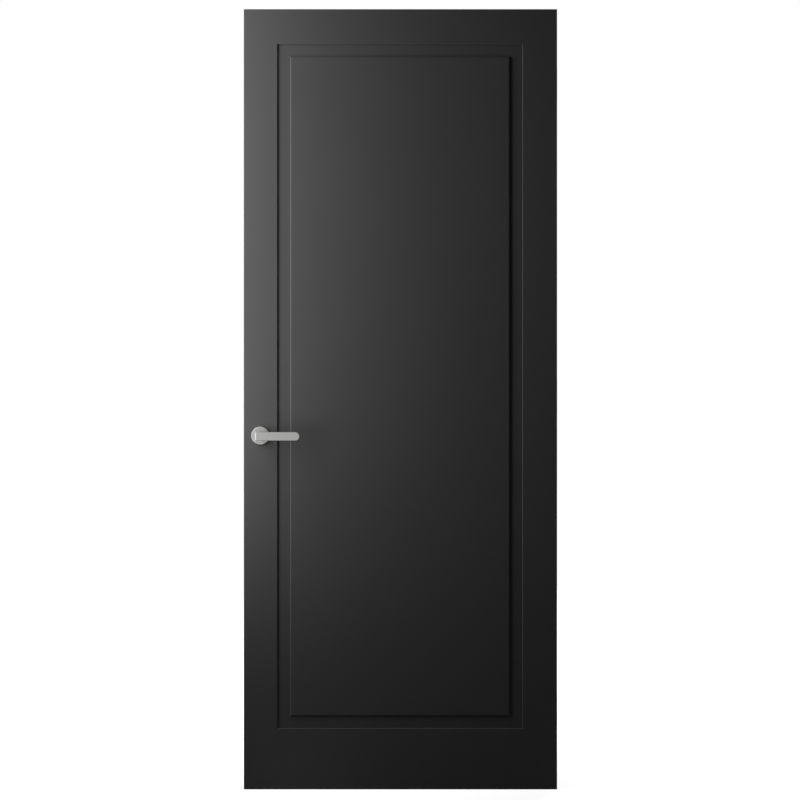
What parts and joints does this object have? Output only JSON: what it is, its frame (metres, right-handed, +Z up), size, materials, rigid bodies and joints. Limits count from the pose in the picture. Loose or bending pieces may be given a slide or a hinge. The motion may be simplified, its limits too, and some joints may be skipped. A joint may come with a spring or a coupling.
{
  "type": "interior door",
  "caption": "Black interior door leaf with a milled channel round a flat panel, satin lever handles on round roses, magnetic mortice latch and butt hinges.",
  "frame": {"origin": "middle of the leaf's bottom edge, at half its thickness", "axes": "+X to the right along the leaf's width towards the hinges, +Y through the leaf away from the viewer, the way it opens, +Z up"},
  "size_m": [0.9352, 0.16, 2.315],
  "materials": {
    "black_lacquer": "sprayed matt black lacquer on sanded MDF and hardwood",
    "softwood": "planed softwood, lacquered black where it shows",
    "chipboard": "extruded chipboard with tunnels",
    "satin_steel": "satin stainless steel",
    "zinc_steel": "zinc-plated steel",
    "spring_steel": "drawn spring steel",
    "nylon": "moulded nylon",
    "satin_aluminium": "blasted and anodised aluminium"
  },
  "bodies": {
    "frame_side": {"hinge_top_frame_plate": "satin_steel", "hinge_top_pin": "satin_steel", "hinge_top_bearings": "zinc_steel", "hinge_middle_frame_plate": "satin_steel", "hinge_middle_pin": "satin_steel", "hinge_middle_bearings": "zinc_steel", "hinge_bottom_frame_plate": "satin_steel", "hinge_bottom_pin": "satin_steel", "hinge_bottom_bearings": "zinc_steel"},
    "leaf": {"front_skin": "black_lacquer", "rear_skin": "black_lacquer", "hinge_lipping": "black_lacquer", "latch_lipping": "black_lacquer", "hinge_stile": "softwood", "latch_stile": "softwood", "top_rail": "softwood", "bottom_rail": "softwood", "lock_block": "softwood", "core": "chipboard", "forend": "satin_steel", "forend_screws": "satin_steel", "lock_case": "zinc_steel", "lock_case_cover": "zinc_steel", "case_screws": "zinc_steel", "draw_spring": "spring_steel", "follower_spring": "spring_steel", "front_rose_base": "nylon", "rear_rose_base": "nylon", "rose_bolts": "zinc_steel", "front_lever_bush": "nylon", "rear_lever_bush": "nylon", "front_rose_cover": "satin_aluminium", "rear_rose_cover": "satin_aluminium", "hinge_top_door_plate": "satin_steel", "hinge_middle_door_plate": "satin_steel", "hinge_bottom_door_plate": "satin_steel", "hinge_screws": "satin_steel"},
    "lever": {"front_lever": "satin_aluminium", "rear_lever": "satin_aluminium", "spindle": "zinc_steel", "follower": "zinc_steel", "grub_screws": "spring_steel", "lever_circlips": "spring_steel"},
    "draw": {"draw_plate": "zinc_steel"},
    "latch": {"latch_bolt": "satin_steel"}
  },
  "joints": [
    {"name": "door_swing", "type": "hinge", "parent": "frame_side", "child": "leaf", "pos_m": [0.46375, 0.027, 1.1675], "axis": [0, 0, -1], "range_deg": [0, 110]},
    {"name": "lever_turn", "type": "hinge", "parent": "leaf", "child": "lever", "pos_m": [-0.415, 0, 1.05], "axis": [0, 1, 0], "range_deg": [0, 40], "stiffness_Nm_per_rad": 1.5, "springref_deg": -22.92, "deforming": ["follower_spring"]},
    {"name": "draw_slide", "type": "slide", "parent": "leaf", "child": "draw", "axis": [1, 0, 0], "range_m": [0, 0.0101], "deforming": ["draw_spring"]},
    {"name": "latch_slide", "type": "slide", "parent": "leaf", "child": "latch", "axis": [-1, 0, 0], "range_m": [0, 0.01], "stiffness_N_per_m": 120, "springref_m": -0.004, "deforming": ["draw_spring"]}
  ],
  "couplings": [
    {"joint": "draw_slide", "follows": "lever_turn", "m_per_rad": 0.01432}
  ]
}
